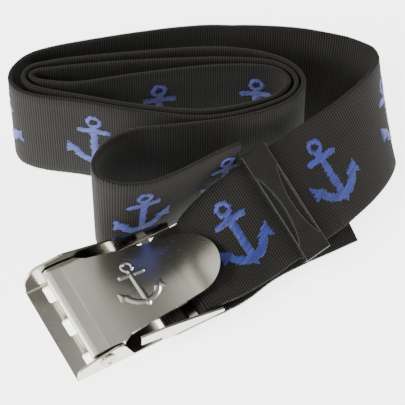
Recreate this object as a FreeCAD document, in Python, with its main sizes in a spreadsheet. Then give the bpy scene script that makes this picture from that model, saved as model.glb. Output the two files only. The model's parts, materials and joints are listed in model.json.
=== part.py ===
import FreeCAD, Part
import math
import os

from FreeCAD import Placement, Rotation, Vector

# A dive weight belt: one strip of ribbed webbing rolled up on its edge, with a stamped cam buckle on one
# end and a moulded keeper that slides along the strip beside it. Millimetres, +Z up. The belt stands on
# the webbing's lower edge, and the origin is on the floor under the middle of the whole belt.

DRIVING = {
    "webbing_width": 50.0,
    "webbing_thickness": 2.2,
    "sheet_thickness": 1.2,
    "frame_length": 72.0,
    "frame_width": 56.0,
    "bar_width": 4.0,
    "slot_width": 5.0,
    "slot_corner": 1.4,
    "slot_margin": 0.9,
    "first_slot": 43.0,
    "drain_start": 7.2,
    "drain_width": 4.4,
    "drain_length": 9.4,
    "drain_corner": 0.9,
    "drain_margin": 1.2,
    "pivot_along": 15.5,
    "pivot_height": 6.2,
    "pin_radius": 1.5,
    "pin_clearance": 0.05,
    "head_radius": 3.8,
    "head_thickness": 1.1,
    "lever_width": 52.4,
    "lever_waist": 47.0,
    "lever_tip_radius": 16.5,
    "lever_reach": 83.0,
    "keeper_length": 13.5,
    "keeper_wall": 2.2,
    "keeper_front": 2.5,
    "keeper_back": 1.2,
    "keeper_opening": 2.9,
    "keeper_span": 51.1,
    "scoop_rim": 0.7,
    "scoop_waist": 4.5,
    "scoop_depth": 1.2,
    "low_block": 5.5,
    "high_block": 9.0,
}

doc = FreeCAD.newDocument("dive_weight_belt")
sheet = doc.addObject("Spreadsheet::Sheet", "Dimensions")
for row, (alias, value) in enumerate(DRIVING.items(), start=1):
    sheet.set(f"A{row}", alias)
    sheet.set(f"B{row}", str(value))
    sheet.setAlias(f"B{row}", alias)
doc.recompute()


def size(alias):
    return float(sheet.get(alias))


def bind(feature, prop, alias):
    feature.setExpression(prop, f"Dimensions.{alias}")


WIDTH = size("webbing_width")
THICK = size("webbing_thickness")
SHEET = size("sheet_thickness")
PIVOT = Vector(size("pivot_along"), 0, size("pivot_height"))

# The buckle's own frame: its origin is the middle of the base plate's left end, on the underside, +X
# runs towards the belt, +Y towards the far side and +Z out of the plate. The right end is lifted by the
# folded webbing under it.
BUCKLE_YAW = 27.7
BUCKLE_PITCH = 5.7
BUCKLE_ORIGIN = Vector(-66.5, -78.9, 0.0)
BUCKLE = Placement(
    BUCKLE_ORIGIN,
    Rotation(Vector(0, 0, 1), BUCKLE_YAW).multiply(Rotation(Vector(0, 1, 0), -BUCKLE_PITCH)),
)
BUCKLE_ACROSS = BUCKLE.Rotation.multVec(Vector(0, 1, 0))

sub_parts = []


def keep(obj, label):
    obj.Label = label
    sub_parts.append(obj)
    return obj


# ---------------------------------------------------------------- webbing

# Stations along the strip: (x, y, z, lean), the middle of the strip's width and the direction from its
# lower to its upper edge. The strip passes smoothly through them.
UP = (0.0, 0.0, 1.0)

# The straight, leaning stretch that the keeper slides along.
KEEPER_LEAN = Vector(-0.54, 0.594, 0.594).normalize()
KEEPER_STEP = Vector(0.772, 0.633, 0.069).normalize()
KEEPER_NORMAL = KEEPER_STEP.cross(KEEPER_LEAN).normalize()
KEEPER_START = Vector(26.3, -28.2, 21.6)
KEEPER_AT = 13.0


def on_keeper_run(distance):
    point = KEEPER_START + KEEPER_STEP * distance
    return (point.x, point.y, point.z, tuple(KEEPER_LEAN))


def in_buckle(along, height):
    point = BUCKLE.multVec(Vector(along, 0, height))
    return (point.x, point.y, point.z, tuple(BUCKLE_ACROSS))


# The cut end lies on its near edge under the run.
END_TAB = [
    (60.3, -5.3, 13.3, (-0.43, 0.76, 0.485)),
    (48.0, -12.2, 13.2, (-0.43, 0.76, 0.485)),
    (34.4, -19.6, 12.8, (-0.465, 0.75, 0.47)),
    (19.7, -28.0, 10.4, (-0.505, 0.777, 0.375)),
    (9.2, -36.6, 6.4, (-0.50, 0.84, 0.20)),
]

# (along, height) in the buckle: in under the plate, up the first slot, over and under the bars, and out.
WRAP = [
    in_buckle(along, height)
    for along, height in (
        (76, -4.0), (66, -3.75), (57, -3.75), (51, -3.75), (48.3, -3.1), (46.9, -1.4), (46.6, 0.5),
        (46.95, 1.95), (48.1, 2.55), (49.5, 2.5), (51.6, 2.5), (52.9, 2.15), (54.5, 0.6), (56.1, -0.95),
        (57.3, -1.35), (59, -1.35), (60.7, -1.35), (61.9, -0.95), (63.5, 0.6), (65.1, 2.15), (66.4, 2.5),
        (70, 2.5), (75, 2.5),
    )
]

RUN = [
    (3.2, -41.6, 11.4, (-0.50, 0.85, 0.13)),
    (8.5, -38.5, 14.0, (-0.53, 0.80, 0.26)),
    (14.5, -35.2, 17.2, (-0.54, 0.74, 0.40)),
    (20.4, -32.0, 19.7, (-0.54, 0.67, 0.51)),
] + [on_keeper_run(distance) for distance in (0, 11, 22, 32)]

BEND = [
    (55.6, -4.0, 24.4, (-0.54, 0.52, 0.66)),
    (66.1, 5.0, 26.1, (-0.53, 0.39, 0.76)),
    (76.0, 15.4, 27.6, (-0.44, 0.30, 0.85)),
    (83.0, 27.0, 27.4, (-0.31, 0.28, 0.91)),
    (84.8, 37.5, 25.4, (-0.15, 0.35, 0.92)),
    (79.0, 46.0, 23.9, (0.02, 0.40, 0.92)),
    (65.0, 53.5, 23.5, (0.12, 0.41, 0.91)),
    (48.0, 59.0, 24.2, (0.03, 0.33, 0.94)),
    (32.0, 62.7, 25.1, (0.0, 0.17, 0.985)),
    (14.0, 65.6, 25.15, (0.0, 0.05, 1.0)),
]

# The rolled part stands upright, so its stations are plan points only.
BACK_LAYER = [(-4, 66.6), (-31, 62.2), (-58, 56.0), (-72, 52.0)]
OUTER_LEFT_TURN = [(-81, 47.5), (-87, 40.0), (-88.5, 33.0), (-85, 26.0)]
FRONT_THIRD = [(-76, 21.6), (-58, 18.3), (-31, 12.3), (-4, 8.2), (12, 9.8), (31, 16.8)]
RIGHT_TURN_MIDDLE = [(40, 23.0), (43.2, 31.0), (40, 38.5)]
BACK_THIRD = [(31, 43.6), (12, 45.5), (-4, 45.2), (-31, 43.6), (-58, 40.7), (-70, 38.9)]
INNER_LEFT_TURN = [(-76.5, 37.6), (-79.2, 34.8), (-76.5, 31.9)]
BACK_FOURTH = [(-69, 30.2), (-58, 29.5), (-31, 34.8), (-4, 39.4), (15, 41.0), (29, 40.2)]
RIGHT_TURN_INNER = [(36.5, 37.0), (39.6, 31.3), (37, 25.6)]
FRONT_FOURTH = [(31, 20.4), (12, 13.9), (-4, 12.1), (-31, 15.6), (-58, 21.9), (-70, 24.8)]
MIDDLE_LEFT_TURN = [(-78.6, 28.2), (-82.4, 34.0), (-79.6, 40.0), (-70, 43.4)]
BACK_SECOND = [(-58, 45.8), (-31, 49.2), (-4, 52.0), (14, 51.8), (30, 48.4)]
RIGHT_TURN_OUTER = [(41.4, 41.6), (46.4, 32.0), (42.4, 21.4)]
FRONT_LAYER = [(31, 13.4), (12, 6.9), (-4, 4.1), (-18, 2.0), (-30, 0.3)]
FOLD = [(-40, -5.0), (-46.4, -13.4), (-48.3, -21.6), (-45.0, -28.4)]

FREE_END = [
    (-36.0, -30.2, 25.1, (0.05, -0.10, 0.99)),
    (-26.0, -26.4, 24.8, (0.10, -0.19, 0.975)),
    (-15.0, -20.7, 24.7, (0.10, -0.20, 0.97)),
    (-4.5, -13.6, 24.7, (0.10, -0.21, 0.97)),
    (6.0, -6.2, 24.6, (0.10, -0.22, 0.97)),
    (14.5, -1.8, 24.6, (0.09, -0.22, 0.97)),
]

STRETCHES = [
    ("webbing_end_tab", END_TAB),
    ("webbing_buckle_wrap", WRAP),
    ("webbing_run", RUN),
    ("webbing_bend", BEND),
    ("webbing_back_layer", BACK_LAYER),
    ("webbing_outer_left_turn", OUTER_LEFT_TURN),
    ("webbing_front_third", FRONT_THIRD),
    ("webbing_middle_right_turn", RIGHT_TURN_MIDDLE),
    ("webbing_back_third", BACK_THIRD),
    ("webbing_inner_left_turn", INNER_LEFT_TURN),
    ("webbing_back_fourth", BACK_FOURTH),
    ("webbing_inner_right_turn", RIGHT_TURN_INNER),
    ("webbing_front_fourth", FRONT_FOURTH),
    ("webbing_middle_left_turn", MIDDLE_LEFT_TURN),
    ("webbing_back_second", BACK_SECOND),
    ("webbing_outer_right_turn", RIGHT_TURN_OUTER),
    ("webbing_front_layer", FRONT_LAYER),
    ("webbing_fold", FOLD),
    ("webbing_free_end", FREE_END),
]


def station(key):
    """A station's middle and its lean, for a plan point or a full station."""
    if len(key) == 2:
        return Vector(key[0], key[1], WIDTH / 2), Vector(*UP)
    return Vector(*key[:3]), Vector(*key[3]).normalize()


def smooth(values, index, share):
    """A point on the smooth curve through the values, between one of them and the next, and its slope."""
    a, b = values[index], values[index + 1]
    before = values[index - 1] if index else a * 2 - b
    after = values[index + 2] if index + 2 < len(values) else b * 2 - a
    step = (b - a).Length
    leaving = (b - before) * (step / (step + (a - before).Length))
    arriving = (after - a) * (step / (step + (after - b).Length))
    t = share
    point = (
        a * (2 * t**3 - 3 * t**2 + 1)
        + leaving * (t**3 - 2 * t**2 + t)
        + b * (3 * t**2 - 2 * t**3)
        + arriving * (t**3 - t**2)
    )
    slope = (
        (b - a) * (6 * t - 6 * t**2)
        + leaving * (3 * t**2 - 4 * t + 1)
        + arriving * (3 * t**2 - 2 * t)
    )
    return point, slope


def section(middles, leans, index, share):
    """The strip's cross-section there, as a closed rectangle of webbing."""
    here, along = smooth(middles, index, share)
    lean = (leans[index] * (1 - share) + leans[index + 1] * share).normalize()
    out = along.cross(lean).normalize() * (THICK / 2)
    half = lean * (WIDTH / 2)
    corners = [here - half - out, here + half - out, here + half + out, here - half + out]
    return Part.makePolygon([*corners, corners[0]])


SECTION_SPACING = 4.0


def webbing():
    """The strip's stretches, each a solid that meets the next one face to face."""
    keys = [key for _, stretch in STRETCHES for key in stretch]
    middles = [station(key)[0] for key in keys]
    leans = [station(key)[1] for key in keys]
    length = sum((b - a).Length for a, b in zip(middles, middles[1:]))
    first = 0
    for label, stretch in STRETCHES:
        last = min(first + len(stretch), len(keys) - 1)
        rings = []
        for index in range(first, last):
            gap = (middles[index + 1] - middles[index]).Length
            steps = max(2, round(gap / SECTION_SPACING))
            rings += [section(middles, leans, index, k / steps) for k in range(steps)]
        rings.append(section(middles, leans, last - 1, 1.0))
        band = doc.addObject("Part::Feature", label)
        band.Shape = Part.makeLoft(rings, True, True)
        band.Placement = Placement()
        keep(band, label)
        first = last
    return length


# ---------------------------------------------------------------- buckle


def plane(body, role):
    return next(feature for feature in body.Origin.OriginFeatures if feature.Role == role)


def sketch_on(body, name, role, offset=0.0):
    sketch = body.newObject("Sketcher::SketchObject", name)
    sketch.AttachmentSupport = [(plane(body, role), "")]
    sketch.MapMode = "FlatFace"
    sketch.AttachmentOffset = Placement(Vector(0, 0, offset), Rotation())
    return sketch


def outline(corners):
    """Lines and arcs round the corners (x, y, radius)."""
    edges, count = [], len(corners)
    ends = []
    for i, (x, y, radius) in enumerate(corners):
        here = Vector(x, y, 0)
        back = Vector(*corners[i - 1][:2], 0) - here
        ahead = Vector(*corners[(i + 1) % count][:2], 0) - here
        turn = back.getAngle(ahead)
        if radius <= 0:
            ends.append((here, here))
            continue
        reach = radius / math.tan(turn / 2)
        start = here + back.normalize() * reach
        end = here + ahead.normalize() * reach
        middle = (start + end) * 0.5
        to_corner = (here - middle).normalize()
        centre = here - to_corner * (radius / math.sin(turn / 2))
        edges.append(Part.Arc(start, centre + to_corner * radius, end))
        ends.append((start, end))
    for i, (start, end) in enumerate(ends):
        following = ends[(i + 1) % count][0]
        if (following - end).Length > 1e-6:
            edges.append(Part.LineSegment(end, following))
    return edges


def box_outline(x0, y0, x1, y1, radius=0.0):
    return outline([(x0, y0, radius), (x1, y0, radius), (x1, y1, radius), (x0, y1, radius)])


# What is trimmed off each flange: (along, height, corner radius) along its top edge, then round above it.
# The near one has a notch and a slot behind the pivot; the far one is taller and plain.
FLANGE_STOCK = 20.0
SLOTS = 3
NEAR_TRIM = [
    (-1.0, 1.9, 0), (0.3, 1.9, 0.3), (0.9, 7.0, 5.0), (9.5, 9.6, 20.0), (23.6, 11.6, 3.6),
    (27.3, 2.2, 1.2), (41.0, 2.1, 0.75), (41.2, 3.9, 0.75), (31.3, 5.4, 0.4), (31.9, 10.0, 0.6),
    (44.0, 8.9, 6.0), (62.0, 5.3, 8.0), (73.0, 2.6, 0),
]
FAR_TRIM = [
    (-1.0, 1.9, 0), (0.3, 1.9, 0.3), (0.4, 8.6, 7.0), (5.2, 14.6, 7.0), (20.0, 15.9, 8.0),
    (37.0, 11.6, 10.0), (55.0, 7.2, 10.0), (73.0, 3.4, 0),
]


def pocket(body, profile, length):
    """Cuts the profile out of the body, equally to both sides of its plane."""
    before = body.Shape.Volume
    cut = body.newObject("PartDesign::Pocket", f"{profile.Name}_cut")
    cut.Profile = profile
    cut.Midplane = True
    cut.Length = length
    doc.recompute()
    if body.Shape.Volume >= before:
        raise RuntimeError(f"{cut.Name} removed nothing")
    return cut


def buckle_frame():
    """The folded sheet: a base plate with drain holes, bars and slots, and a flange down each side."""
    body = doc.addObject("PartDesign::Body", "buckle_frame")
    half = size("frame_width") / 2
    inner = half - SHEET
    channel = sketch_on(body, "channel_section", "YZ_Plane")
    channel.addGeometry(
        outline(
            [
                (-half, FLANGE_STOCK, 0), (-half, 0, 2.0), (half, 0, 2.0), (half, FLANGE_STOCK, 0),
                (inner, FLANGE_STOCK, 0), (inner, SHEET, 0.8),
                (-inner, SHEET, 0.8), (-inner, FLANGE_STOCK, 0),
            ]
        )
    )
    folded = body.newObject("PartDesign::Pad", "folded_channel")
    folded.Profile = channel
    bind(folded, "Length", "frame_length")
    doc.recompute()

    windows = sketch_on(body, "windows", "XY_Plane")
    hole_start, hole_half = size("drain_start"), size("drain_length") / 2
    hole_end = hole_start + size("drain_width")
    outermost = inner - hole_half - size("drain_margin")
    for middle in (-outermost, 0.0, outermost):
        low, high = middle - hole_half, middle + hole_half
        windows.addGeometry(box_outline(hole_start, low, hole_end, high, size("drain_corner")))
    reach = inner - size("slot_margin")
    for k in range(SLOTS):
        start = size("first_slot") + k * (size("slot_width") + size("bar_width"))
        end = start + size("slot_width")
        windows.addGeometry(box_outline(start, -reach, end, reach, size("slot_corner")))
    pocket(body, windows, 4 * SHEET)

    for name, trim, offset in (("near", NEAR_TRIM, inner), ("far", FAR_TRIM, -inner)):
        side = sketch_on(body, f"{name}_flange_trim", "XZ_Plane", offset)
        top = FLANGE_STOCK + 1
        side.addGeometry(outline(trim + [(73.0, top, 0), (-1.0, top, 0)]))
        pocket(body, side, 4 * SHEET)

    bore = sketch_on(body, "pivot_bore", "XZ_Plane")
    radius = size("pin_radius") + size("pin_clearance")
    bore.addGeometry(Part.Circle(Vector(PIVOT.x, PIVOT.z, 0), Vector(0, 0, 1), radius))
    pocket(body, bore, 2 * size("frame_width"))
    body.Placement = BUCKLE
    return keep(body, "buckle_frame")


def pivot_pin():
    """The axle through both flanges, with its ends upset into dimpled heads."""
    body = doc.addObject("PartDesign::Body", "pivot_pin")
    half = size("frame_width") / 2
    reach = half + size("head_thickness")
    radius, head = size("pin_radius"), size("head_radius")
    profile = sketch_on(body, "pin_profile", "XY_Plane")
    side = [
        (0, reach - 0.6), (0.9, reach - 0.6), (1.7, reach), (head - 0.5, reach), (head, reach - 0.4),
        (head, half + 0.05), (radius, half + 0.05),
    ]
    points = [Vector(x, y, 0) for x, y in side] + [Vector(x, -y, 0) for x, y in reversed(side)]
    profile.addGeometry([Part.LineSegment(a, b) for a, b in zip(points, points[1:] + points[:1])])
    turned = body.newObject("PartDesign::Revolution", "pin_turned")
    turned.Profile = profile
    turned.ReferenceAxis = (profile, ["V_Axis"])
    turned.Angle = 360
    doc.recompute()
    body.Placement = BUCKLE.multiply(Placement(PIVOT, Rotation()))
    return keep(body, "pivot_pin")


# (along, height, bend radius) down the middle of the lever's sheet: the upturned tip, the bowed tray, the
# rolled cam end and the lip that bites the webbing.
LEVER_PROFILE = [
    (83.2, 8.7, 0), (71.0, 6.2, 60.0), (52.0, 7.2, 200.0), (30.0, 10.2, 300.0), (17.6, 11.4, 12.0),
    (10.2, 11.5, 2.6), (9.6, 8.2, 0.9), (12.7, 7.7, 1.2), (13.1, 3.8, 2.2), (15.7, 1.95, 0),
]
EAR_OUTLINE = [
    (10.5, 9.8, 0.8), (10.3, 8.2, 0.8), (12.4, 4.4, 2.6), (15.5, 2.0, 2.4), (19.2, 4.2, 2.6),
    (25.0, 8.8, 1.0), (25.0, 10.5, 0), (16.0, 11.4, 0),
]


def bent_sheet(path, thickness):
    """The outline of a sheet whose middle follows a path of (x, y, bend radius)."""
    sides = []
    for side in (1, -1):
        corners = []
        for i, (x, y, radius) in enumerate(path):
            here = Vector(x, y, 0)
            ahead = Vector(*path[i + 1][:2], 0) - here if i + 1 < len(path) else None
            back = here - Vector(*path[i - 1][:2], 0) if i else ahead
            ahead = ahead or back
            back, ahead = back.normalize(), ahead.normalize()
            first = Vector(-back.y, back.x, 0)
            second = Vector(-ahead.y, ahead.x, 0)
            middle = (first + second).normalize()
            corner = here + middle * (side * thickness / 2 / middle.dot(first))
            turn = back.cross(ahead).z
            bend = radius - side * math.copysign(thickness / 2, turn) if radius else 0
            corners.append((corner.x, corner.y, bend))
        sides.append(corners)
    return outline(sides[0] + sides[1][::-1])


def cam_lever():
    """The stamped lever: a bowed tray, its rolled end with the biting lip, and an ear at each side."""
    body = doc.addObject("PartDesign::Body", "cam_lever")
    full, waist, tip = size("lever_width") / 2, size("lever_waist") / 2, size("lever_tip_radius")
    profile = sketch_on(body, "lever_profile", "XZ_Plane")
    profile.addGeometry(bent_sheet(LEVER_PROFILE, SHEET))
    tray = body.newObject("PartDesign::Pad", "tray")
    tray.Profile = profile
    tray.Midplane = True
    bind(tray, "Length", "lever_width")
    doc.recompute()

    plan = sketch_on(body, "lever_plan", "XY_Plane", size("pivot_height"))
    end = size("lever_reach")
    corners = [
        Vector(25, full, 0), Vector(29.5, waist, 0), Vector(end - tip, tip + 1.0, 0),
    ]
    mirrored = [Vector(p.x, -p.y, 0) for p in reversed(corners)]
    margin = full + 2
    outside = [Vector(25, -margin, 0), Vector(end + 5, -margin, 0), Vector(end + 5, margin, 0)]
    outside.append(Vector(25, margin, 0))
    plan.addGeometry(Part.Arc(corners[-1], Vector(end, 0, 0), mirrored[0]))
    loop = [*mirrored, *outside, corners[0]]
    plan.addGeometry([Part.LineSegment(a, b) for a, b in zip(loop, loop[1:])])
    plan.addGeometry([Part.LineSegment(a, b) for a, b in zip(corners, corners[1:])])
    pocket(body, plan, 2 * FLANGE_STOCK)

    for name, offset in (("near", full - SHEET), ("far", -full)):
        side = sketch_on(body, f"{name}_ear_outline", "XZ_Plane", offset)
        side.addGeometry(outline(EAR_OUTLINE))
        ear = body.newObject("PartDesign::Pad", f"{name}_ear")
        ear.Profile = side
        bind(ear, "Length", "sheet_thickness")
        doc.recompute()

    bore = sketch_on(body, "lever_bore", "XZ_Plane")
    radius = size("pin_radius") + size("pin_clearance")
    bore.addGeometry(Part.Circle(Vector(PIVOT.x, PIVOT.z, 0), Vector(0, 0, 1), radius))
    pocket(body, bore, 2 * size("frame_width"))
    body.Placement = BUCKLE
    return keep(body, "cam_lever")


# ---------------------------------------------------------------- keeper


def keeper():
    """The moulded loop round the run: a thin back bar, two end walls and a waisted front bar."""
    body = doc.addObject("PartDesign::Body", "keeper")
    length, wall = size("keeper_length"), size("keeper_wall")
    half_span, half_opening = size("keeper_span") / 2, size("keeper_opening") / 2
    front = half_opening + size("keeper_front")
    back = half_opening + size("keeper_back")
    outer = sketch_on(body, "loop_outline", "YZ_Plane")
    outer.addGeometry(box_outline(-half_span - wall, -back, half_span + wall, front, 0.6))
    outer.addGeometry(box_outline(-half_span, -half_opening, half_span, half_opening, 0.4))
    loop = body.newObject("PartDesign::Pad", "loop")
    loop.Profile = outer
    loop.Midplane = True
    bind(loop, "Length", "keeper_length")
    doc.recompute()

    scoops = sketch_on(body, "side_scoops", "XY_Plane", front)
    low_end, high_end = size("low_block") - half_span, half_span - size("high_block")
    for side in (1, -1):
        edge = side * (length / 2 - size("scoop_rim"))
        waist = side * (length / 2 - size("scoop_waist"))
        low, high = Vector(edge, low_end, 0), Vector(edge, high_end, 0)
        deep = Vector(waist, (low_end + high_end) / 2, 0)
        scoops.addGeometry([Part.Arc(low, deep, high), Part.LineSegment(high, low)])
    pocket(body, scoops, 2 * size("scoop_depth"))
    turned = Rotation(KEEPER_STEP, KEEPER_LEAN, KEEPER_NORMAL, "XYZ")
    body.Placement = Placement(KEEPER_START + KEEPER_STEP * KEEPER_AT, turned)
    return keep(body, "keeper")


strip_length = webbing()
buckle_frame()
pivot_pin()
cam_lever()
keeper()
doc.recompute()


# ---------------------------------------------------------------- origin, checks and files


def centre_on_floor():
    """Moves the whole belt so that its origin is under the middle of its box."""
    box = FreeCAD.BoundBox()
    for part in sub_parts:
        box.add(part.Shape.BoundBox)
    shift = Vector(-box.Center.x, -box.Center.y, -box.ZMin)
    for part in sub_parts:
        place = part.Placement
        part.Placement = Placement(place.Base + shift, place.Rotation)
    doc.recompute()
    return shift


shift = centre_on_floor()

for obj in doc.Objects:
    if {"Invalid", "Error"} & set(obj.State):
        raise RuntimeError(f"{obj.Name} did not compute: {obj.State}")
os.makedirs("parts", exist_ok=True)
for part in sub_parts:
    shape = part.Shape
    if shape.isNull() or not shape.isValid():
        raise RuntimeError(f"{part.Label} has no valid shape")
    shape.exportStep(f"parts/{part.Label}.step")

place = Placement(shift, Rotation())
print("strip length", round(strip_length, 1))
print("shift", [round(value, 3) for value in shift])
print("pivot", [round(v, 3) for v in place.multVec(BUCKLE.multVec(PIVOT))])
print("pivot axis", [round(-v, 5) for v in BUCKLE_ACROSS])
print("keeper axis", [round(v, 5) for v in KEEPER_STEP.normalize()])
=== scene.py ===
import json
import math
import random

import bpy
import numpy as np
from mathutils import Matrix, Vector
from mathutils.bvhtree import BVHTree


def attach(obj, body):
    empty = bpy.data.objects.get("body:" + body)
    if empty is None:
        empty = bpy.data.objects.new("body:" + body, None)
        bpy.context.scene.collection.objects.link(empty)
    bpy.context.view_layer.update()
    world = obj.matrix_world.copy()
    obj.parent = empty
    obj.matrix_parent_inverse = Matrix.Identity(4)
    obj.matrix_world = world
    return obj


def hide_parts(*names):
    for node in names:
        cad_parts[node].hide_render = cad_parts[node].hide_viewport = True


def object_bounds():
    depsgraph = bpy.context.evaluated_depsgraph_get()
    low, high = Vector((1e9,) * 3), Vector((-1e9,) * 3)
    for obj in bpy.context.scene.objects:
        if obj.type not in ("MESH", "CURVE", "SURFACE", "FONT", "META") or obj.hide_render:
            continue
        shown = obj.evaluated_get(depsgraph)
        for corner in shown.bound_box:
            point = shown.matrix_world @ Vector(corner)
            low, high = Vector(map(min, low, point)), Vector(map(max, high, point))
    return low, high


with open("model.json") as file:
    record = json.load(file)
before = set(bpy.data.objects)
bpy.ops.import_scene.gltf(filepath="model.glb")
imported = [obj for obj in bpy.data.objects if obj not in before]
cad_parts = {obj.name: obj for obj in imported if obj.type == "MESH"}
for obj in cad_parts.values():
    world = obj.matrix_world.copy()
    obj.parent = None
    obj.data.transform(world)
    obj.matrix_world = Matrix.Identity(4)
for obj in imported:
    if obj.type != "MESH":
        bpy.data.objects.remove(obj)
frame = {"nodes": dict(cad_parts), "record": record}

MM = 0.001
random.seed(7)
NODES = frame["nodes"]
RECORD = frame["record"]
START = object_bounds()
START = [list(START[0]), list(START[1])]

# ------------------------------------------------------------------ the buckle's own frame, from the record
PIVOT_JOINT = next(j for j in RECORD["behaviour"]["joints"] if j["name"] == "lever_pivot")
KEEPER_JOINT = next(j for j in RECORD["behaviour"]["joints"] if j["name"] == "keeper_slide")
ACROSS = -np.array(PIVOT_JOINT["axis"], float)
PITCH = math.radians(5.7)
LEVEL = np.array([ACROSS[1], -ACROSS[0], 0.0])
ALONG = LEVEL * math.cos(PITCH) + np.array([0, 0, math.sin(PITCH)])
NORMAL = np.cross(ALONG, ACROSS)
PIVOT_ALONG, PIVOT_HEIGHT = 15.5, 6.2
CORNER = np.array(PIVOT_JOINT["pos_m"], float) / MM - ALONG * PIVOT_ALONG - NORMAL * PIVOT_HEIGHT
# The strip's stations are measured from ORIGIN, the point that the camera looks at. The buckle's corner lies
# this far from it.
CORNER_FROM_ORIGIN = np.array([-66.5, -78.9, 0.0])
ORIGIN = CORNER - CORNER_FROM_ORIGIN


def in_buckle(along, across, height):
    """A point of the buckle's frame in the row frame, millimetres."""
    return CORNER + ALONG * along + ACROSS * across + NORMAL * height


# ------------------------------------------------------------------ camera
FOCAL, SENSOR = 171.1, 36.0
CAMERA_FROM_ORIGIN = np.array([0, -590.5, 679.2])


def aim(obj, target):
    obj.rotation_euler = (Vector(target) - obj.location).to_track_quat("-Z", "Y").to_euler()


camera_data = bpy.data.cameras.new("photo_camera")
camera_data.sensor_width = SENSOR
camera_data.lens = FOCAL
camera_data.clip_start = 0.01
camera_data.dof.use_dof = False
camera = bpy.data.objects.new("photo_camera", camera_data)
bpy.context.scene.collection.objects.link(camera)
camera.location = Vector((ORIGIN + CAMERA_FROM_ORIGIN) * MM)
aim(camera, ORIGIN * MM)
bpy.context.scene.camera = camera

# ------------------------------------------------------------------ the strip's path
# A station is a point of the strip's middle, from ORIGIN, and the direction that its width leans in.
WIDTH, THICK = 50.0, 2.2
LEAN = np.array([-0.54, 0.594, 0.594])
STEP = np.array(KEEPER_JOINT["axis"], float)
RUN_START = np.array([26.3, -28.2, 21.6])


def straight(distance):
    """A station of the run's straight stretch, which the keeper slides along."""
    return (*(RUN_START + STEP * distance), *LEAN)


def threaded(along, height):
    """A station on the way through the buckle's slots."""
    return (*(in_buckle(along, 0, height) - ORIGIN), *ACROSS)


def plan(points):
    """Stations of webbing that stands upright on its edge."""
    return [(x, y, 25.0, 0.0, 0.0, 1.0) for x, y in points]


END_TAB = [
    (60.3, -5.3, 13.3, -0.43, 0.76, 0.485), (48.0, -12.2, 13.2, -0.43, 0.76, 0.485),
    (34.4, -19.6, 12.8, -0.465, 0.75, 0.47), (19.7, -28.0, 10.4, -0.505, 0.777, 0.375),
    (9.2, -36.6, 6.4, -0.50, 0.84, 0.20),
]
WRAP = [
    threaded(along, height)
    for along, height in (
        (76, -4.0), (66, -3.75), (57, -3.75), (51, -3.75), (48.3, -3.1), (46.9, -1.4), (46.6, 0.5),
        (46.95, 1.95), (48.1, 2.55), (49.5, 2.5), (51.6, 2.5), (52.9, 2.15), (54.5, 0.6), (56.1, -0.95),
        (57.3, -1.35), (59, -1.35), (60.7, -1.35), (61.9, -0.95), (63.5, 0.6), (65.1, 2.15), (66.4, 2.5),
        (70, 2.5), (75, 2.5),
    )
]
RUN = [
    (3.2, -41.6, 11.4, -0.50, 0.85, 0.13), (8.5, -38.5, 14.0, -0.53, 0.80, 0.26),
    (14.5, -35.2, 17.2, -0.54, 0.74, 0.40), (20.4, -32.0, 19.7, -0.54, 0.67, 0.51),
] + [straight(distance) for distance in (0, 11, 22, 32)]
BEND = [
    (55.6, -4.0, 24.4, -0.54, 0.52, 0.66), (66.1, 5.0, 26.1, -0.53, 0.39, 0.76),
    (76.0, 15.4, 27.6, -0.44, 0.30, 0.85), (83.0, 27.0, 27.4, -0.31, 0.28, 0.91),
    (84.8, 37.5, 25.4, -0.15, 0.35, 0.92), (79.0, 46.0, 23.9, 0.02, 0.40, 0.92),
    (65.0, 53.5, 23.5, 0.12, 0.41, 0.91), (48.0, 59.0, 24.2, 0.03, 0.33, 0.94),
    (32.0, 62.7, 25.1, 0.0, 0.17, 0.985), (14.0, 65.6, 25.15, 0.0, 0.05, 1.0),
]
ROLL = plan([
    (-4, 66.6), (-31, 62.2), (-58, 56.0), (-72, 52.0), (-81, 47.5), (-87, 40.0), (-88.5, 33.0), (-85, 26.0),
    (-76, 21.6), (-58, 18.3), (-31, 12.3), (-4, 8.2), (12, 9.8), (31, 16.8), (40, 23.0), (43.2, 31.0),
    (40, 38.5), (31, 43.6), (12, 45.5), (-4, 45.2), (-31, 43.6), (-58, 40.7), (-70, 38.9), (-76.5, 37.6),
    (-79.2, 34.8), (-76.5, 31.9), (-69, 30.2), (-58, 29.5), (-31, 34.8), (-4, 39.4), (15, 41.0), (29, 40.2),
    (36.5, 37.0), (39.6, 31.3), (37, 25.6), (31, 20.4), (12, 13.9), (-4, 12.1), (-31, 15.6), (-58, 21.9),
    (-70, 24.8), (-78.6, 28.2), (-82.4, 34.0), (-79.6, 40.0), (-70, 43.4), (-58, 45.8), (-31, 49.2),
    (-4, 52.0), (14, 51.8), (30, 48.4), (41.4, 41.6), (46.4, 32.0), (42.4, 21.4), (31, 13.4), (12, 6.9),
    (-4, 4.1), (-18, 2.0), (-30, 0.3), (-40, -5.0), (-46.4, -13.4), (-48.3, -21.6), (-45.0, -28.4),
])
FREE_END = [
    (-36.0, -30.2, 25.1, 0.05, -0.10, 0.99), (-26.0, -26.4, 24.8, 0.10, -0.19, 0.975),
    (-15.0, -20.7, 24.7, 0.10, -0.20, 0.97), (-4.5, -13.6, 24.7, 0.10, -0.21, 0.97),
    (6.0, -6.2, 24.6, 0.10, -0.22, 0.97), (14.5, -1.8, 24.6, 0.09, -0.22, 0.97),
]
WEB_NODES = [name for name in NODES if name.startswith("webbing_")]


def unit(rows):
    return rows / np.linalg.norm(rows, axis=-1, keepdims=True)


POINTS_PER_GAP = 24


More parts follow.
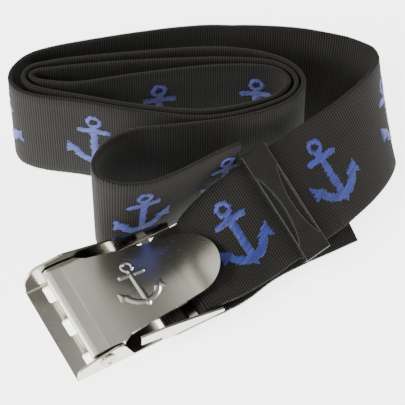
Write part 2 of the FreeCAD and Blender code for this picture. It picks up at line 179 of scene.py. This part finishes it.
class Strip:
    """The webbing's middle surface: millimetres along it and across it to points of the row frame."""

    def __init__(self, stations):
        keys = np.array(stations, float)
        middles, leans = keys[:, :3] + ORIGIN, unit(keys[:, 3:])
        gaps = np.linalg.norm(np.diff(middles, axis=0), axis=1)
        ahead = np.vstack([middles[1:], 2 * middles[-1] - middles[-2]])
        behind = np.vstack([2 * middles[0] - middles[1], middles[:-1]])
        before, after = np.append(gaps[0], gaps), np.append(gaps, gaps[-1])
        points, slopes, tilts = [], [], []
        for i, gap in enumerate(gaps):
            last = i + 1 == len(gaps)
            t = np.linspace(0, 1, POINTS_PER_GAP + 1)[: POINTS_PER_GAP + last, None]
            leaving = (ahead[i] - behind[i]) * gap / (before[i] + after[i])
            arriving = (ahead[i + 1] - behind[i + 1]) * gap / (before[i + 1] + after[i + 1])
            a, b = middles[i], middles[i + 1]
            points.append(
                a * (2 * t**3 - 3 * t**2 + 1) + leaving * (t**3 - 2 * t**2 + t)
                + b * (3 * t**2 - 2 * t**3) + arriving * (t**3 - t**2)
            )
            slopes.append(
                (b - a) * (6 * t - 6 * t**2)
                + leaving * (3 * t**2 - 4 * t + 1) + arriving * (3 * t**2 - 2 * t)
            )
            tilts.append(leans[i] * (1 - t) + leans[i + 1] * t)
        self.points, self.lean = np.vstack(points), unit(np.vstack(tilts))
        self.out = unit(np.cross(unit(np.vstack(slopes)), self.lean))
        self.at = np.append(0, np.cumsum(np.linalg.norm(np.diff(self.points, axis=0), axis=1)))
        self.length = self.at[-1]

    def _read(self, rows, s):
        return np.stack([np.interp(s, self.at, rows[:, k]) for k in range(3)], -1)

    def place(self, s, across, lift):
        """Points at these lengths, distances across and heights off the middle surface."""
        s, across, lift = np.broadcast_arrays(s, across, lift)
        here, lean, out = (self._read(rows, s) for rows in (self.points, self.lean, self.out))
        return here + lean * across[..., None] + unit(out) * lift[..., None]


STRIP = Strip(END_TAB + WRAP + RUN + BEND + ROLL + FREE_END)


# ------------------------------------------------------------------ meshes
def mesh_object(name, points, faces, uv):
    """A smooth-shaded object from points in millimetres, with a texture place in millimetres for each."""
    mesh = bpy.data.meshes.new(name)
    mesh.from_pydata([tuple(p) for p in np.asarray(points) * MM], [], faces)
    mesh.update()
    layer = mesh.uv_layers.new(name="UVMap")
    loops = np.zeros(len(mesh.loops), int)
    mesh.loops.foreach_get("vertex_index", loops)
    layer.data.foreach_set("uv", np.asarray(uv, float)[loops].ravel())
    mesh.polygons.foreach_set("use_smooth", [True] * len(mesh.polygons))
    obj = bpy.data.objects.new(name, mesh)
    bpy.context.scene.collection.objects.link(obj)
    return obj


def tube_faces(rings, count):
    """Quads between rings of count points each, numbered ring by ring, and a face at each end."""
    faces = []
    for r in range(rings - 1):
        low, high = r * count, (r + 1) * count
        for k in range(count):
            n = (k + 1) % count
            faces.append((low + k, low + n, high + n, high + k))
    faces.append(tuple(range(count))[::-1])
    faces.append(tuple(range((rings - 1) * count, rings * count)))
    return faces


# The webbing's ribs run across it: their pitch, the half thickness in a valley and what a crest adds to it,
# and where the edge lies in a valley, from the nominal one, and what a crest adds to that. The flat ends
# FLAT_EDGE short of the nominal edge, with COLUMNS points over it, and EDGE_ROUND rounds the beaded edge.
RIB = 1.12
RIB_SAMPLES = 4
VALLEY_FACE, CREST_FACE = 0.85, 0.27
VALLEY_EDGE, CREST_EDGE = -0.45, 0.60
FLAT_EDGE = 0.75
EDGE_ROUND = 0.22
COLUMNS = 13


def webbing():
    """The whole strip as one ribbed, beaded-edge mesh."""
    count = int(round(STRIP.length / RIB * RIB_SAMPLES)) + 1
    s = np.linspace(0, STRIP.length, count)
    rib = np.sqrt(np.abs(np.cos(math.pi * s / RIB)))
    face = VALLEY_FACE + CREST_FACE * rib
    edge = WIDTH / 2 + VALLEY_EDGE + CREST_EDGE * rib
    columns = np.linspace(-1, 1, COLUMNS) * (WIDTH / 2 - FLAT_EDGE)
    section = []
    for side in (1, -1):
        section += [(np.full(count, side * a), side * face) for a in columns]
        for shift, share in ((EDGE_ROUND, 0.75), (0.0, 0.0), (EDGE_ROUND, -0.75)):
            section.append((side * (edge - shift), side * face * share))
    across = np.stack([a for a, _ in section], 1)
    lift = np.stack([h for _, h in section], 1)
    points = STRIP.place(s[:, None], across, lift).reshape(-1, 3)
    uv = np.stack([np.broadcast_to(s[:, None], across.shape), across], -1).reshape(-1, 2)
    return mesh_object("webbing", points, tube_faces(count, len(section)), uv)


def anchor_depth(x, y):
    """How far inside the generic anchor a point is, in millimetres; negative outside it."""
    def disc(cx, cy, radius):
        return radius - np.hypot(x - cx, y - cy)

    def bar(x0, y0, x1, y1, half):
        dx, dy = x1 - x0, y1 - y0
        t = np.clip(((x - x0) * dx + (y - y0) * dy) / (dx * dx + dy * dy), 0, 1)
        return half - np.hypot(x - x0 - t * dx, y - y0 - t * dy)

    def wedge(corners):
        inside = np.full(np.shape(x), 99.0)
        for (x0, y0), (x1, y1) in zip(corners, corners[1:] + corners[:1]):
            length = math.hypot(x1 - x0, y1 - y0)
            inside = np.minimum(inside, ((x1 - x0) * (y - y0) - (y1 - y0) * (x - x0)) / length)
        return inside

    ring = np.minimum(disc(0, 13.0, 4.0), -disc(0, 13.0, 1.7))
    stock = bar(-6.6, 7.2, 6.6, 7.2, 1.6)
    shank = bar(0, 9.5, 0, -13.0, 2.0)
    arms = np.minimum(2.1 - np.abs(np.hypot(x, y + 2.6) - 10.0), -4.6 - y)
    left_fluke = wedge([(-13.2, -1.2), (-13.6, -9.0), (-6.2, -6.0)])
    right_fluke = wedge([(13.2, -1.2), (6.2, -6.0), (13.6, -9.0)])
    foot = wedge([(-3.4, -12.6), (0, -17.0), (3.4, -12.6)])
    return np.max([ring, stock, shank, arms, left_fluke, right_fluke, foot], axis=0)


# The stitches lie in rows THREAD apart, slanted to the strip. Each end is ragged at random, a stitch shorter
# than SHORTEST is left out, and the ends sink into the webbing. All lengths are in millimetres.
THREAD = 0.72
SLANT = math.radians(22)
ROW_WAY = np.array([math.cos(SLANT), math.sin(SLANT)])
ROW_SIDE = np.array([-ROW_WAY[1], ROW_WAY[0]])
ROWS, ROW_REACH, ROW_STEP = 32, 22, 0.2
RAGGED_END = (-0.1, 0.7)
SHORTEST = 0.8
RING_GAP = 1.3
STITCH_RISE, STITCH_UNEVEN, STITCH_FOOT = 0.26, 0.02, 0.02
SUNK_END = 0.45
OVERLAP = 1.04
FREE_EDGE = 0.4


def stitches(row):
    """The two ends of each stitch in this row of the anchor, as distances along the row."""
    fine = np.arange(-ROW_REACH, ROW_REACH, ROW_STEP)
    line = ROW_WAY * fine[:, None] + row
    inside = anchor_depth(line[:, 0], line[:, 1]) > 0
    edges = np.flatnonzero(np.diff(np.concatenate([[0], inside.view(np.int8), [0]])))
    for first, last in zip(edges[::2], edges[1::2]):
        low = fine[first] - random.uniform(*RAGGED_END)
        high = fine[last - 1] + random.uniform(*RAGGED_END)
        if high - low >= SHORTEST:
            yield low, high


def stitch_ring(centre, middle, sunk):
    """Four points across a stitch: places along the strip and across it, and heights off its middle."""
    top = THICK / 2 + STITCH_RISE + random.uniform(-STITCH_UNEVEN, STITCH_UNEVEN) - sunk
    foot = THICK / 2 + STITCH_FOOT - sunk
    for share, lift in ((-0.46, foot), (-0.2, top), (0.2, top), (0.46, foot)):
        x, y = middle + ROW_SIDE * (share * THREAD * OVERLAP)
        yield min(centre + x, STRIP.length - FREE_EDGE), y, lift


def emblem(centres):
    """Satin stitches over the anchor at each of these places, following the strip, as one mesh."""
    points, faces = [], []
    for centre in centres:
        for k in range(-ROWS, ROWS + 1):
            row = ROW_SIDE * (k * THREAD)
            for low, high in stitches(row):
                rings = max(3, int((high - low) / RING_GAP) + 2)
                base = len(points)
                for i, here in enumerate(np.linspace(low, high, rings)):
                    sunk = SUNK_END if i in (0, rings - 1) else 0.0
                    points += stitch_ring(centre, ROW_WAY * here + row, sunk)
                for a in range(base, base + 4 * (rings - 1), 4):
                    faces += [(a + j, a + j + 1, a + j + 5, a + j + 4) for j in range(3)]
    laid = np.array(points)
    placed = STRIP.place(laid[:, 0], laid[:, 1], laid[:, 2])
    return mesh_object("woven_emblem", placed, faces, laid[:, :2])


# ------------------------------------------------------------------ materials
def fill_ramp(bar, stops):
    """Sets a colour ramp's stops, each (position, colour), from its first to its last."""
    for element, (at, colour) in ((bar.elements[0], stops[0]), (bar.elements[-1], stops[-1])):
        element.position = at
        element.color = (*colour, 1)
    for at, colour in stops[1:-1]:
        bar.elements.new(at).color = (*colour, 1)


def grey(tone):
    return (tone,) * 3


class Shader:
    """A material whose surface is one principled shader, and short ways to add nodes to it."""

    def __init__(self, name):
        self.material = bpy.data.materials.new(name)
        self.material.use_nodes = True
        self.tree = self.material.node_tree
        self.tree.nodes.clear()
        self.surface = self.node("ShaderNodeBsdfPrincipled")
        output = self.node("ShaderNodeOutputMaterial")
        self.link(self.surface.outputs[0], output.inputs[0])

    def node(self, kind, **settings):
        made = self.tree.nodes.new(kind)
        for key, value in settings.items():
            setattr(made, key, value)
        return made

    def link(self, a, b):
        self.tree.links.new(a, b)

    def put(self, target, value):
        if isinstance(value, bpy.types.NodeSocket):
            self.link(value, target)
        else:
            target.default_value = value

    def math(self, operation, a, b=0.0, clamp=False):
        made = self.node("ShaderNodeMath", operation=operation, use_clamp=clamp)
        self.put(made.inputs[0], a)
        self.put(made.inputs[1], b)
        return made.outputs[0]

    def mix(self, share, a, b):
        made = self.node("ShaderNodeMix", data_type="RGBA")
        self.put(made.inputs[0], share)
        self.put(made.inputs[6], a)
        self.put(made.inputs[7], b)
        return made.outputs[2]

    def coords(self, kind="Object", scale=(1, 1, 1), turn=(0, 0, 0)):
        source = self.node("ShaderNodeTexCoord")
        mapping = self.node("ShaderNodeMapping", vector_type="POINT")
        mapping.inputs["Rotation"].default_value = turn
        mapping.inputs["Scale"].default_value = scale
        self.link(source.outputs[kind], mapping.inputs[0])
        return mapping.outputs[0]

    def noise(self, vector, scale, detail=2.0, rough=0.5):
        made = self.node("ShaderNodeTexNoise")
        self.link(vector, made.inputs["Vector"])
        made.inputs["Scale"].default_value = scale
        made.inputs["Detail"].default_value = detail
        made.inputs["Roughness"].default_value = rough
        return made.outputs[0]

    def ramp(self, value, stops):
        made = self.node("ShaderNodeValToRGB")
        self.link(value, made.inputs[0])
        fill_ramp(made.color_ramp, stops)
        return made.outputs[0]

    def bump(self, height, strength, distance):
        made = self.node("ShaderNodeBump")
        self.put(made.inputs["Height"], height)
        made.inputs["Strength"].default_value = strength
        made.inputs["Distance"].default_value = distance
        self.link(made.outputs[0], self.surface.inputs["Normal"])

    def set(self, **values):
        for key, value in values.items():
            self.put(self.surface.inputs[key.replace("_", " ")], value)
        return self.material


YARN = 0.72


def webbing_material():
    m = Shader("ribbed_webbing")
    uv = m.node("ShaderNodeTexCoord").outputs["UV"]
    parts = m.node("ShaderNodeSeparateXYZ")
    m.link(uv, parts.inputs[0])
    s, a = parts.outputs[0], parts.outputs[1]
    rib = m.math("ABSOLUTE", m.math("COSINE", m.math("MULTIPLY", s, math.pi / RIB)))
    row = m.math("FLOOR", m.math("ADD", m.math("DIVIDE", s, RIB), 0.5))
    stagger = m.math("MULTIPLY", m.math("MODULO", row, 2.0), 0.36)
    place = m.math("MULTIPLY", m.math("ADD", a, stagger), math.pi / YARN)
    yarn = m.math("ABSOLUTE", m.math("SINE", place))
    cloth = m.coords("UV")
    fuzz = m.noise(cloth, 2.6, 3.0, 0.65)
    patch = m.noise(cloth, 0.06, 2.0, 0.5)
    height = m.math("ADD", m.math("MULTIPLY", rib, 0.55), m.math("MULTIPLY", yarn, 0.3))
    height = m.math("ADD", height, m.math("MULTIPLY", fuzz, 0.35))
    m.bump(height, 0.55, 0.00018)
    # The colour is painted shade and light of the weave: near black in the rib valleys and where the yarns
    # part, lighter on the crests.
    knot = m.math("MULTIPLY", rib, yarn)
    shade = m.math("ADD", m.math("MULTIPLY", rib, 0.6), m.math("MULTIPLY", knot, 0.4))
    valley_shade, side, crest_light = (0.0012, 0.0012, 0.0010), (0.006, 0.0056, 0.0047), (0.036, 0.033, 0.027)
    colour = m.ramp(shade, [(0.45, valley_shade), (0.72, side), (1.0, crest_light)])
    wear = m.math("MULTIPLY", m.math("MULTIPLY", patch, 0.3), shade, True)
    return m.set(
        Base_Color=m.mix(wear, colour, (0.050, 0.048, 0.042, 1)),
        Roughness=m.ramp(fuzz, [(0.3, grey(0.70)), (0.7, grey(0.88))]),
        Specular_IOR_Level=0.16, Sheen_Weight=0.04, Sheen_Roughness=0.5,
    )


def thread_material():
    m = Shader("satin_thread")
    island = m.node("ShaderNodeNewGeometry").outputs["Random Per Island"]
    strand = m.noise(m.coords("UV", turn=(0, 0, -SLANT)), 3.2, 3.0, 0.6)
    deep, plain, bright = (0.010, 0.020, 0.15), (0.022, 0.038, 0.25), (0.042, 0.064, 0.36)
    colour = m.ramp(island, [(0.0, deep), (0.5, plain), (1.0, bright)])
    gap = m.ramp(strand, [(0.35, grey(0.55)), (0.7, grey(0.0))])
    m.bump(strand, 0.35, 0.0001)
    return m.set(
        Base_Color=m.mix(gap, colour, (0.018, 0.026, 0.12, 1)), Roughness=0.42,
        Specular_IOR_Level=0.45, Sheen_Weight=0.15, Sheen_Roughness=0.4,
    )


def steel_material(name, colour, rough, grain, along=True):
    """Brushed steel, with its grain along the buckle or else across it."""
    m = Shader(name)
    turn = -math.atan2(ALONG[1], ALONG[0])
    stretch = (60, 2600, 2600) if along else (2600, 60, 2600)
    brush = m.noise(m.coords("Object", stretch, (0, 0, turn)), 1.0, 3.0, 0.6)
    scratch = m.noise(m.coords("Object", (150, 5200, 5200), (0, 0, turn + 0.35)), 1.0, 1.0, 0.5)
    smear = m.noise(m.coords("Object"), 55.0, 3.0, 0.55)
    mark = m.ramp(scratch, [(0.70, grey(0)), (0.76, grey(1))])
    grainy, smeared = ((*(c * shade for c in colour), 1) for shade in (0.55, 0.7))
    tint = m.mix(m.math("MULTIPLY", brush, 0.35 * grain), (*colour, 1), grainy)
    tint = m.mix(m.math("MULTIPLY", smear, 0.18), tint, smeared)
    rougher = m.math("ADD", m.math("MULTIPLY", brush, 0.10 * grain), m.math("MULTIPLY", smear, 0.05))
    rougher = m.math("ADD", m.math("ADD", rougher, m.math("MULTIPLY", mark, 0.06)), rough)
    height = m.math("ADD", m.math("MULTIPLY", brush, grain), m.math("MULTIPLY", mark, -0.25))
    m.bump(height, 0.16, 0.00006)
    return m.set(Base_Color=tint, Metallic=1.0, Roughness=rougher, Anisotropic=0.35)


def plastic_material():
    m = Shader("moulded_plastic")
    flow = m.noise(m.coords("Object"), 160.0, 3.0, 0.5)
    grit = m.noise(m.coords("Object"), 2600.0, 2.0, 0.6)
    scuff = m.noise(m.coords("Object", (300, 4200, 900), (0.3, 0.2, 0.6)), 1.0, 1.0, 0.5)
    worn = m.ramp(scuff, [(0.66, grey(0)), (0.74, grey(1))])
    colour = m.mix(m.math("MULTIPLY", flow, 0.5), (0.009, 0.0088, 0.0075, 1), (0.018, 0.0175, 0.015, 1))
    colour = m.mix(m.math("MULTIPLY", worn, 0.25), colour, (0.03, 0.029, 0.025, 1))
    # The keeper's edges are painted lighter: a painted highlight along every rim, where the rounded normal
    # turns away from the flat face.
    rounded = m.node("ShaderNodeBevel", samples=6)
    rounded.inputs["Radius"].default_value = 0.0007
    edge_highlight_turn = m.node("ShaderNodeVectorMath", operation="DOT_PRODUCT")
    m.link(rounded.outputs[0], edge_highlight_turn.inputs[0])
    m.link(m.node("ShaderNodeNewGeometry").outputs["True Normal"], edge_highlight_turn.inputs[1])
    edge = m.ramp(edge_highlight_turn.outputs["Value"], [(0.80, grey(0.75)), (0.985, grey(0.0))])
    colour = m.mix(edge, colour, (0.13, 0.128, 0.118, 1))
    m.bump(m.math("ADD", grit, m.math("MULTIPLY", flow, 2.0)), 0.12, 0.00006)
    gloss = m.ramp(flow, [(0.3, grey(0.12)), (0.7, grey(0.22))])
    return m.set(Base_Color=colour, Roughness=gloss, Specular_IOR_Level=0.55)


def paint(obj, material):
    obj.data.materials.clear()
    obj.data.materials.append(material)


# ------------------------------------------------------------------ the pieces
strap = webbing()
paint(strap, webbing_material())
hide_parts(*WEB_NODES)
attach(strap, "belt")

# Where some of the woven anchors are, as (number along the strip, millimetres along it); the others lie
# evenly between them. The second one would be in the buckle's slots and isn't seen.
EMBLEM_PLACES = [
    (0, 57.0), (2, 158.0), (3, 211.0), (4, 259.0),
    (9, 500.0), (15, 795.0), (16, 841.0), (25, 1282.0), (26, 1325.0),
]
numbers = [k for k in range(EMBLEM_PLACES[-1][0] + 1) if k != 1]
centres = np.interp(numbers, *zip(*EMBLEM_PLACES))
stitched = emblem(centres)
paint(stitched, thread_material())
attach(stitched, "belt")

frame_steel = steel_material("frame_steel", (0.60, 0.58, 0.53), rough=0.12, grain=0.5)
lever_steel = steel_material("lever_steel", (0.68, 0.66, 0.59), rough=0.17, grain=0.35)
pin_steel = steel_material("pin_steel", (0.50, 0.48, 0.44), rough=0.16, grain=0.3, along=False)
paint(NODES["buckle_frame"], frame_steel)
paint(NODES["cam_lever"], lever_steel)
paint(NODES["pivot_pin"], pin_steel)
paint(NODES["keeper"], plastic_material())


# The pressed anchor: its scale and place on the lever, its height and the width of its slopes, and the
# patch of the lever's top face that its skin covers, a little under that face where nothing rises.
PRESSED_SIZE = 0.82
PRESSED_ALONG = 43.6
PRESSED_RISE, PRESSED_UNDER = 0.65, 0.07
SLOPE, SLOPE_START = 1.5, 0.12
PATCH_X, PATCH_Y, PATCH_STEP = 13.5, 17.0, 0.3
ABOVE_LEVER = 25.0


def embossed_anchor():
    """The pressed anchor on the lever: a skin that rises out of the lever's top face."""
    mesh = NODES["cam_lever"].data
    corners, outlines = [tuple(v.co) for v in mesh.vertices], [tuple(p.vertices) for p in mesh.polygons]
    lever = BVHTree.FromPolygons(corners, outlines)
    xs = np.arange(-PATCH_X, PATCH_X + PATCH_STEP, PATCH_STEP)
    ys = np.arange(-PATCH_Y, PATCH_Y + PATCH_STEP, PATCH_STEP)
    points, uv = [], []
    down = Vector(-NORMAL)
    for y in ys:
        for x in xs:
            inside = anchor_depth(np.array(x / PRESSED_SIZE), np.array(y / PRESSED_SIZE))
            rise = np.clip(float(inside) * PRESSED_SIZE / SLOPE + SLOPE_START, 0, 1)
            rise = rise * rise * (3 - 2 * rise)
            start = Vector(in_buckle(PRESSED_ALONG + x, y, ABOVE_LEVER) * MM)
            hit = lever.ray_cast(start, down)[0]
            points.append(np.array(hit) / MM + NORMAL * (rise * PRESSED_RISE - PRESSED_UNDER))
            uv.append((x, y))
    wide = len(xs)
    faces = [
        (j * wide + i, j * wide + i + 1, (j + 1) * wide + i + 1, (j + 1) * wide + i)
        for j in range(len(ys) - 1)
        for i in range(wide - 1)
    ]
    return mesh_object("lever_embossing", points, faces, uv)


embossing = embossed_anchor()
paint(embossing, lever_steel)
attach(embossing, "lever")

EDGE_ROUNDING = {"buckle_frame": 0.18, "cam_lever": 0.18, "pivot_pin": 0.2, "keeper": 0.35}
for name, width in EDGE_ROUNDING.items():
    bevel = NODES[name].modifiers.new("edge_rounding", "BEVEL")
    bevel.width = width * MM
    bevel.segments = 2
    bevel.limit_method = "ANGLE"
    bevel.angle_limit = math.radians(40)


# ------------------------------------------------------------------ floor, light and sky
# The floor's half side and how far it lies under the belt, in metres, and its glow.
FLOOR_HALF, FLOOR_DROP = 3.0, 0.0001
FLOOR_GLOW = 3.4


def pale_floor():
    mesh = bpy.data.meshes.new("floor")
    signs = ((-1, -1), (1, -1), (1, 1), (-1, 1))
    mesh.from_pydata([(x * FLOOR_HALF, y * FLOOR_HALF, 0) for x, y in signs], [], [(0, 1, 2, 3)])
    floor = bpy.data.objects.new("floor", mesh)
    bpy.context.scene.collection.objects.link(floor)
    floor.location.z = -FLOOR_DROP
    m = Shader("pale_floor")
    tone = m.noise(m.coords("Object"), 3.0, 2.0)
    pale = m.mix(m.math("MULTIPLY", tone, 0.06), (0.93, 0.93, 0.92, 1), (0.88, 0.88, 0.87, 1))
    floor.data.materials.append(m.set(
        Base_Color=pale, Roughness=0.9, Specular_IOR_Level=0.1,
        Emission_Color=(1, 1, 0.995, 1), Emission_Strength=FLOOR_GLOW,
    ))


# Each lamp's place from ORIGIN and the side of its square, in metres, and its power in watts.
LAMPS = {
    "key_left": ((-0.95, -0.42, 0.62), 0.35, 16.0),
    "key_right": ((0.85, 0.55, 0.55), 0.40, 7.0),
    "glint": ((-0.38, -1.00, 0.52), 0.10, 1.6),
}


def softbox(name, place, side, power):
    light = bpy.data.lights.new(name, "AREA")
    light.shape = "SQUARE"
    light.size = side
    light.energy = power
    lamp = bpy.data.objects.new(name, light)
    bpy.context.scene.collection.objects.link(lamp)
    lamp.location = ORIGIN * MM + np.array(place)
    aim(lamp, ORIGIN * MM)


# The sky behind the belt, from its left to its right, as (x of the direction, tone): the bright panels and
# dark gaps that the steel mirrors.
BACKDROP = [
    (-0.60, 1.25), (-0.31, 1.20), (-0.27, 0.15), (-0.20, 0.15), (-0.175, 1.20), (-0.08, 1.15),
    (-0.04, 0.40), (0.04, 0.17), (0.22, 0.20), (0.40, 0.60),
]
# The same in front of the belt: bright on the left, dark on the right, where the keeper looks.
FOREGROUND = [(-0.60, 1.10), (0.00, 0.95), (0.30, 0.42), (0.80, 0.30)]
# Below the panels the sky is plain and pale, and they fade in between these heights of the direction. The
# front ones give way to the back ones between these depths of it.
PALE = (1.9, 1.9, 1.88, 1)
PANELS_FROM = (0.30, 0.55)
FRONT_TO_BACK = (-0.1, 0.25)


def sky():
    world = bpy.data.worlds.new("studio")
    bpy.context.scene.world = world
    world.use_nodes = True
    tree = world.node_tree
    tree.nodes.clear()
    coords = tree.nodes.new("ShaderNodeTexCoord")
    parts = tree.nodes.new("ShaderNodeSeparateXYZ")
    tree.links.new(coords.outputs["Generated"], parts.inputs[0])

    def spread(value, low, high):
        """How far the value has gone from low to high, from 0 to 1."""
        made = tree.nodes.new("ShaderNodeMapRange")
        tree.links.new(value, made.inputs["Value"])
        made.inputs["From Min"].default_value = low
        made.inputs["From Max"].default_value = high
        return made.outputs[0]

    def panels(stops):
        """The sky's tones by the direction's x."""
        left, right = stops[0][0], stops[-1][0]
        ramp = tree.nodes.new("ShaderNodeValToRGB")
        tree.links.new(spread(parts.outputs[0], left, right), ramp.inputs[0])
        tones = [((x - left) / (right - left), (tone, tone * 0.985, tone * 0.94)) for x, tone in stops]
        fill_ramp(ramp.color_ramp, tones)
        return ramp.outputs[0]

    blend = tree.nodes.new("ShaderNodeMix")
    blend.data_type = "RGBA"
    tree.links.new(spread(parts.outputs[1], *FRONT_TO_BACK), blend.inputs[0])
    tree.links.new(panels(FOREGROUND), blend.inputs[6])
    tree.links.new(panels(BACKDROP), blend.inputs[7])
    overhead = tree.nodes.new("ShaderNodeMix")
    overhead.data_type = "RGBA"
    tree.links.new(spread(parts.outputs[2], *PANELS_FROM), overhead.inputs[0])
    overhead.inputs[6].default_value = PALE
    tree.links.new(blend.outputs[2], overhead.inputs[7])
    background = tree.nodes.new("ShaderNodeBackground")
    output = tree.nodes.new("ShaderNodeOutputWorld")
    tree.links.new(overhead.outputs[2], background.inputs[0])
    tree.links.new(background.outputs[0], output.inputs[0])


pale_floor()
sky()
for name, settings in LAMPS.items():
    softbox(name, *settings)
